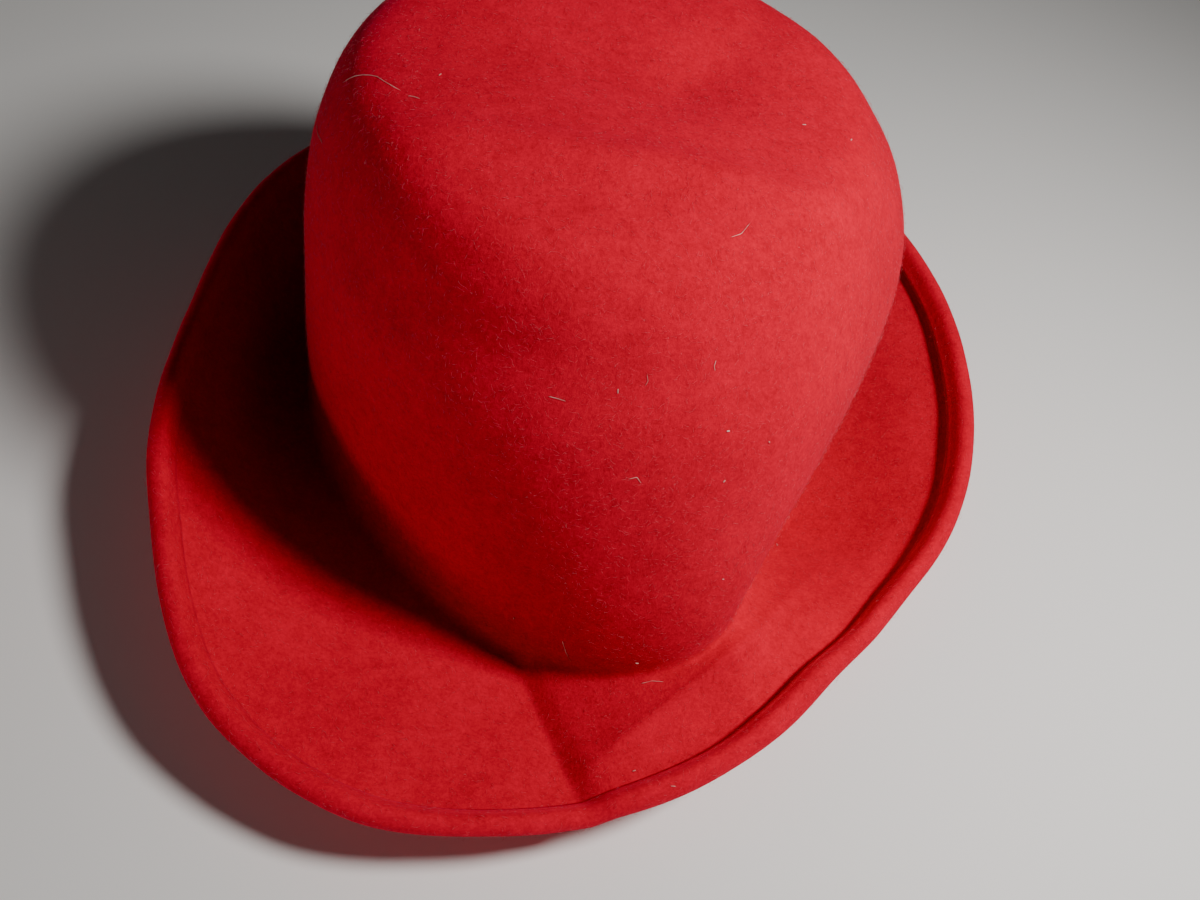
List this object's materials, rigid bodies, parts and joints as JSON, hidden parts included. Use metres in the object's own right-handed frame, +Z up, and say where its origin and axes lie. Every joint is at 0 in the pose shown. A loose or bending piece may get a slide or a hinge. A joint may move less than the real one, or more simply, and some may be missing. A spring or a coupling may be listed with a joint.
{
  "type": "felt hat with a turned-up brim",
  "caption": "Soft red felt hat with a tall leaning crown and a turned-up, hemmed brim, for wearing on the head.",
  "frame": {"origin": "centre of the bounding box in plan, on the floor plane that the hat's flat strip rests on", "axes": "+Z up through the crown, -Y the pointed front of the crown and the brim's fold, +X the wearer's left"},
  "size_m": [0.3134, 0.3052, 0.1527],
  "materials": {
    "red_felt": "matt wool felt with a short nap"
  },
  "bodies": {
    "root": {"felt_hat": "red_felt"}
  },
  "joints": []
}
